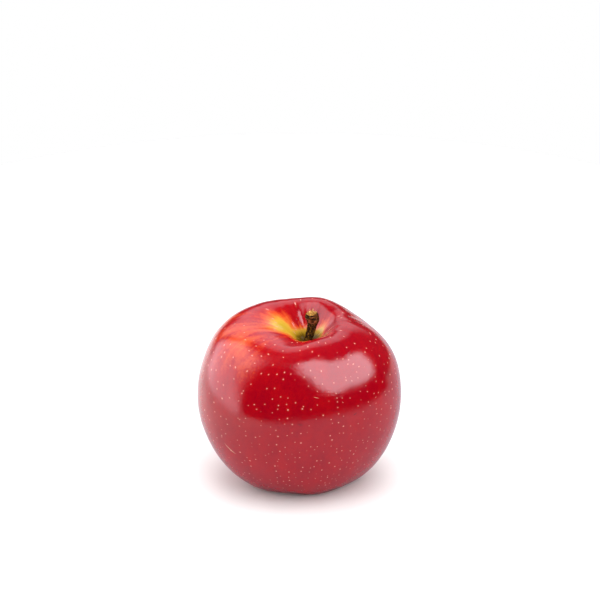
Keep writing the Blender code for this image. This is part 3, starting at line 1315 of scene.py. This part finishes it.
@dataclass
class Sepals:
    """The five dried leaves of the old flower, which hang in the basin underneath."""

    count: int = 5
    seed: int = 11
    # (distance from the core, drop below the basin's roof, half width)
    line: tuple[tuple[float, ...], ...] = (
        (3.7, 0.85, 1.8), (3.4, 1.9, 1.9), (3.0, 3.05, 1.55), (2.75, 4.0, 1.1), (3.3, 4.8, 0.7), (4.8, 5.2, 0.3),
    )
    rows: int = 40
    columns: int = 14
    turn_spread: tuple[float, float] = (-0.06, 0.06)
    reach_spread: tuple[float, float] = (-0.5, 0.3)
    curl_spread: tuple[float, float] = (-0.3, 0.9)
    trimmed: float = 0.35  # how much of the first and the last station's reach is left off
    hollow: float = 0.35
    thickness: float = 0.32 * MM
    crumple: float = 0.22 * MM
    finish: DryFinish = DryFinish("dried_leaf", (0.16, 0.10, 0.055), (0.36, 0.31, 0.24), (0.05, 0.03, 0.018))

    def build(self, fruit: Fruit) -> list[bpy.types.Object]:
        """Builds the sepals.

        Args:
            fruit: The fruit whose basin they hang in.

        Returns:
            The five pieces.
        """
        chance = random.Random(self.seed)
        pieces = []
        for number in range(self.count):
            angle = math.tau * number / self.count + chance.uniform(*self.turn_spread)
            reach = chance.uniform(*self.reach_spread)
            curl = chance.uniform(*self.curl_spread)
            pieces.append(self.build_one(fruit, number + 1, angle, reach, curl))
        return pieces

    def build_one(self, fruit: Fruit, number: int, angle: float, reach: float, curl: float) -> bpy.types.Object:
        """Builds one sepal: pointed, hollow along its middle, and curled and crumpled as it dried.

        Args:
            fruit: The fruit whose basin it hangs in.
            number: Its number, from 1.
            angle: Where it stands around the core.
            reach: How much longer it is than its line, in millimetres.
            curl: How far its tip curls out, in millimetres.

        Returns:
            The piece.
        """
        shape = bmesh.new()
        bmesh.ops.create_grid(shape, x_segments=self.columns, y_segments=self.rows, size=1.0)
        last = len(self.line) - 1
        flat = []
        for vertex in shape.verts:
            across, along = vertex.co.x, (vertex.co.y + 1.0) / 2.0
            distance, drop, half_width = spline_point(
                self.line, min(max(along * last, self.trimmed), last - self.trimmed)
            )
            hollow = self.hollow * half_width * across**2
            tip = curl * smoothstep(0.6, 1.0, along)
            tooth = 1.0 + 0.10 * noise.noise(Vector((3.0 * across, 9.0 * along, 5.0 * number)))
            flat.append(Vector((across * half_width * MM, number * 5.0 * MM, along * 7.0 * MM)))
            fold = self.crumple * noise.noise(flat[-1] / (1.3 * MM)) + 0.08 * MM * math.cos(9.0 * across)
            side = across * half_width * tooth * MM
            vertex.co = ((distance + hollow + tip) * MM + fold, side, fruit.basin_roof - (drop + reach * along) * MM)
        bmesh.ops.rotate(shape, verts=shape.verts, matrix=Matrix.Rotation(angle, 3, "Z"))
        bmesh.ops.translate(shape, verts=shape.verts, vec=fruit.core)
        bmesh.ops.recalc_face_normals(shape, faces=shape.faces)
        piece = made_piece(f"sepal_leaf_{number}", shape, (f"sepal_{number}",))
        keep_values(piece, Follow.GRAIN, flat)
        thick = piece.modifiers.new("thickness", "SOLIDIFY")
        thick.thickness = self.thickness
        thick.offset = 0.0
        return piece

    def dress(self, pieces: list[bpy.types.Object]) -> None:
        """Gives the sepals their finish.

        Args:
            pieces: The five pieces.
        """
        leaf = self.finish.made()
        for piece in pieces:
            piece.data.materials.append(leaf)


@dataclass
class Stamens:
    """The dried tuft between the sepals: a fluted heart with threads around it."""

    # (radius, drop below the basin's roof), from inside the cup downwards
    heart: tuple[tuple[float, float], ...] = (
        (0.0, -2.2), (1.1, -2.2), (1.5, -1.6), (1.3, -0.4), (0.85, 1.0), (0.6, 2.0), (0.0, 2.3),
    )
    flutes: int = 9
    flute_depth: float = 0.14
    # (radius in millimetres, share of its length) of a thread, with a small head on its end
    thread: tuple[tuple[float, float], ...] = (
        (0.0, 0.0), (0.13, 0.0), (0.11, 0.3), (0.09, 0.6), (0.08, 0.86), (0.17, 0.92), (0.15, 0.98), (0.0, 1.0),
    )
    threads: int = 26
    thread_reach: tuple[float, float] = (0.45 * MM, 1.15 * MM)
    thread_length: tuple[float, float] = (1.8 * MM, 3.6 * MM)
    thread_lean: tuple[float, float] = (-0.25 * MM, 0.5 * MM)
    thread_bend: tuple[float, float] = (-0.35 * MM, 0.35 * MM)
    seed: int = 23
    finish: DryFinish = DryFinish("dried_tuft", (0.06, 0.038, 0.022), (0.17, 0.12, 0.075), (0.02, 0.012, 0.008))

    def build(self, fruit: Fruit) -> bpy.types.Object:
        """Builds the tuft.

        Args:
            fruit: The fruit whose cup it stands in.

        Returns:
            The piece.
        """
        chance = random.Random(self.seed)
        shape = turned([(r * MM, -drop * MM) for r, drop in self.heart], self.flutes * 6)
        for vertex in shape.verts:
            flute = 1.0 + self.flute_depth * math.cos(self.flutes * polar(vertex.co)[1])
            vertex.co.x *= flute
            vertex.co.y *= flute
        for _ in range(self.threads):
            self.add_thread(shape, chance)
        grain = [vertex.co.copy() for vertex in shape.verts]
        bmesh.ops.translate(shape, verts=shape.verts, vec=fruit.core + UP * fruit.basin_roof)
        piece = made_piece("stamen_tuft", shape, ("stamens",))
        keep_values(piece, Follow.GRAIN, grain)
        return piece

    def add_thread(self, shape: bmesh.types.BMesh, chance: random.Random) -> None:
        """Adds one bent thread.

        Args:
            shape: The tuft so far.
            chance: Where its place and size come from.
        """
        angle = chance.uniform(0.0, math.tau)
        reach, length, lean, bend = (
            chance.uniform(*spread)
            for spread in (self.thread_reach, self.thread_length, self.thread_lean, self.thread_bend)
        )
        thread = turned(list(self.thread), 7)
        out = outward(angle)
        side = Vector((-out.y, out.x, 0.0))
        for vertex in thread.verts:
            share = vertex.co.z
            across = Vector((vertex.co.x, vertex.co.y, 0.0)) * MM
            middle = out * (reach + lean * share * share) + side * (bend * math.sin(math.pi * share))
            vertex.co = middle + across - UP * (share * length - 0.3 * MM)
        bmesh.ops.recalc_face_normals(thread, faces=thread.faces)
        mesh = bpy.data.meshes.new("thread")
        thread.to_mesh(mesh)
        thread.free()
        shape.from_mesh(mesh)
        bpy.data.meshes.remove(mesh)

    def dress(self, piece: bpy.types.Object) -> None:
        """Gives the tuft its finish."""
        piece.data.materials.append(self.finish.made())


def direction(azimuth: float, elevation: float) -> Vector:
    """The direction with an azimuth from the front towards the right, and an elevation, in degrees."""
    a, e = math.radians(azimuth), math.radians(elevation)
    return Vector((math.sin(a) * math.cos(e), -math.cos(a) * math.cos(e), math.sin(e)))


WHITE = (1.0, 1.0, 1.0)
CARD_TINT = (1.0, 0.92, 1.0)  # of what the skin mirrors


class Lights(Enum):
    """What a light's glow reaches: the surfaces' matt colour, or only their gloss."""

    MATT = "matt"
    GLOSS = "gloss"


def lit(name: str, shape: bmesh.types.BMesh, brightness: float, lights: Lights, faded: int = 0) -> None:
    """Makes a shape a soft light that no camera sees.

    Args:
        name: The light's name.
        shape: Its shape, in place. It is freed.
        brightness: How bright it is; a white wall in the same room is 1.
        lights: What its glow reaches.
        faded: How many of the first vertices are dark, so that the light fades towards them.
    """
    light = placed(name, shape)
    light.visible_camera = False
    light.visible_shadow = False
    light.visible_diffuse = lights is Lights.MATT
    light.visible_glossy = lights is Lights.GLOSS
    paint = Paint(name)
    glow: Feed = WHITE
    if faded:
        count = len(light.data.vertices)
        keep_values(light, Follow.GLOW, [float(index >= faded) for index in range(count)])
        tint = paint.node("ShaderNodeVectorMath", operation="SCALE")
        paint.put(tint.inputs[0], CARD_TINT if lights is Lights.GLOSS else WHITE)
        paint.put(tint.inputs["Scale"], paint.attribute(Follow.GLOW, number=True))
        glow = tint.outputs["Vector"]
    paint.put(paint.shader.inputs["Emission Color"], glow)
    light.data.materials.append(
        paint.finished((0.0, 0.0, 0.0), Specular_IOR_Level=0.0, Emission_Strength=brightness)
    )
    LOG.info("%s: brightness %.2f", name, brightness)


@dataclass(frozen=True)
class SoftPanel:
    """A flat, evenly lit diffusing panel beside the table."""

    name: str
    corners: tuple[tuple[float, ...], ...]  # (azimuth, elevation) from the apple in degrees, and its own soft edge
    distance: float
    brightness: float
    lights: Lights
    soft_edge: float = 0.05  # how far in the glow fades, as a share of the way to the middle

    def build(self, target: Vector) -> None:
        """Builds the panel.

        Args:
            target: The point that it faces.
        """
        count = len(self.corners)
        middle = Vector(sum(corner[side] for corner in self.corners) / count for side in (0, 1))
        outer_ways, inner_ways = [], []
        for azimuth, elevation, *own_edge in self.corners:
            corner = Vector((azimuth, elevation))
            outer_ways.append(direction(*corner))
            inner_ways.append(direction(*corner.lerp(middle, own_edge[0] if own_edge else self.soft_edge)))
        facing = sum(outer_ways, Vector()).normalized()
        shape = bmesh.new()
        outer, inner = (
            [shape.verts.new(target + way * (self.distance / way.dot(facing))) for way in ways]
            for ways in (outer_ways, inner_ways)
        )
        for index in range(count):
            after = (index + 1) % count
            shape.faces.new((outer[index], outer[after], inner[after], inner[index]))
        shape.faces.new(inner)
        lit(self.name, shape, self.brightness, self.lights, faded=count)


KEY_CORNERS = (
    (3.0, 62.0), (7.0, 75.0), (28.0, 74.0), (43.0, 64.0), (50.0, 55.5), (70.0, 50.5), (90.0, 47.5), (104.0, 47.0),
    (114.0, 42.0), (107.0, 36.0), (102.0, 28.0), (96.0, 19.0), (88.0, 11.0), (75.0, 11.0), (56.0, 10.0),
    (47.0, 7.5), (39.0, 5.5), (28.0, 11.0), (20.0, 20.0), (14.0, 30.0), (7.0, 42.0),
)
LEFT_CORNERS = (
    (-48.0, -28.0, 0.30), (-51.0, 4.0, 0.60), (-40.0, 22.0, 0.55), (-28.0, 42.0, 0.45), (-22.0, 62.0, 0.50),
    (-35.0, 80.0, 0.45), (-160.0, 82.0, 0.45), (-166.0, 58.0, 0.50), (-143.0, 48.0, 0.40), (-141.0, 8.0, 0.25),
    (-138.0, -28.0, 0.30),
)
LEFT_GLOW_CORNERS = ((-54.0, -12.0), (-54.0, 10.0), (-38.0, 48.0), (-40.0, 68.0), (-124.0, 66.0), (-124.0, -12.0))
TOP_CORNERS = ((0.0, 48.0), (90.0, 48.0), (180.0, 48.0), (270.0, 48.0))
BACK_CORNERS = (
    (147.0, 12.0), (147.0, 62.0), (172.0, 66.0), (196.0, 60.0), (222.0, 50.0), (222.0, 6.0), (184.0, 17.0),
)


@dataclass
class Studio:
    """The pale table, the soft panels, the white surroundings and the camera."""

    table_radius: float = 0.28
    table_offset: Triple = (0.0, 0.09, 0.0)
    panels_aim: float = 45.0 * MM
    elevation: float = 24.7
    camera_distance: float = 1.0
    lens: float = 157.08
    aim_sideways: float = -2.95 * MM
    aim_height: float = 75.1 * MM
    backdrop: float = 0.07
    backdrop_within: tuple[float, float] = (0.05, 0.45)  # shares of the way back
    below: float = 1.0
    below_within: tuple[float, float] = (0.0, -0.08)  # shares of the way up
    behind_from: float = 0.3
    panels: tuple[SoftPanel, ...] = (
        SoftPanel("key_gloss", KEY_CORNERS, 0.85, 7.1, Lights.GLOSS),
        SoftPanel("key_glow", KEY_CORNERS, 0.87, 2.0, Lights.MATT),
        SoftPanel("left_gloss", LEFT_CORNERS, 0.80, 3.7, Lights.GLOSS),
        SoftPanel("left_glow", LEFT_GLOW_CORNERS, 0.82, 2.0, Lights.MATT),
        SoftPanel("top_glow", TOP_CORNERS, 0.90, 3.7, Lights.MATT),
        SoftPanel("back_gloss", BACK_CORNERS, 0.90, 1.4, Lights.GLOSS, 0.35),
    )
    tent_radius: float = 1.6
    tent_brightness: float = 0.62
    finish: TableFinish = TableFinish()

    def build(self, fruit: Fruit) -> None:
        """Builds the studio around the fruit.

        Args:
            fruit: The fruit, which everything is aimed at.
        """
        self.build_table()
        for panel in self.panels:
            panel.build(fruit.core + UP * self.panels_aim)
        tent = bmesh.new()
        bmesh.ops.create_uvsphere(tent, u_segments=24, v_segments=12, radius=self.tent_radius)
        lit("tent", tent, self.tent_brightness, Lights.MATT)
        self.build_surroundings()
        self.build_camera(fruit)

    def build_table(self) -> None:
        """Builds the round table top."""
        shape = bmesh.new()
        bmesh.ops.create_circle(shape, cap_ends=True, segments=96, radius=self.table_radius)
        bmesh.ops.translate(shape, verts=shape.verts, vec=self.table_offset)
        table = placed("table", shape)
        table.data.materials.append(self.finish.made())

    def build_surroundings(self) -> None:
        """Lights the surroundings: dim behind the table, white low behind it, dark in front, and seen as white."""
        world = bpy.data.worlds.new("studio")
        bpy.context.scene.world = world
        world.use_nodes = True
        world.cycles_visibility.diffuse = False
        wires = Wiring(world.node_tree)
        _, back, up = wires.split(wires.node("ShaderNodeTexCoord").outputs["Generated"])
        below = wires.rise(up, *self.below_within, 0.0, self.below)
        low_behind = wires.times(below, wires.maths("GREATER_THAN", back, self.behind_from))
        backdrop = wires.rise(back, *self.backdrop_within, 0.0, self.backdrop)
        level = wires.maths("MAXIMUM", backdrop, low_behind)
        seen = wires.node("ShaderNodeLightPath").outputs["Is Camera Ray"]
        background = world.node_tree.nodes["Background"]
        wires.put(background.inputs["Color"], WHITE)
        wires.put(background.inputs["Strength"], wires.maths("MAXIMUM", level, seen))

    def build_camera(self, fruit: Fruit) -> None:
        """Builds the camera.

        Args:
            fruit: The fruit that it looks down on.
        """
        lens = bpy.data.cameras.new("camera")
        lens.sensor_width = 36.0
        lens.lens = self.lens
        lens.clip_start = 0.01
        camera = bpy.data.objects.new("camera", lens)
        bpy.context.scene.collection.objects.link(camera)
        aim = fruit.core + Vector((self.aim_sideways, 0.0, self.aim_height))
        back = direction(0.0, self.elevation)
        camera.location = aim + back * self.camera_distance
        camera.rotation_mode = "QUATERNION"
        camera.rotation_quaternion = back.to_track_quat("Z", "Y")
        bpy.context.scene.camera = camera
        bpy.context.scene.view_settings.view_transform = "Standard"


def main() -> None:
    """Builds and dresses the apple, then the studio around it."""
    logging.basicConfig(level=logging.INFO, format="%(name)s: %(message)s")
    fruit = Fruit()
    fruit.dress(fruit.build())
    stem = Stem()
    stem.dress(stem.build(fruit))
    sepals = Sepals()
    sepals.dress(sepals.build(fruit))
    stamens = Stamens()
    stamens.dress(stamens.build(fruit))
    Studio().build(fruit)


if __name__ == "__main__":
    main()
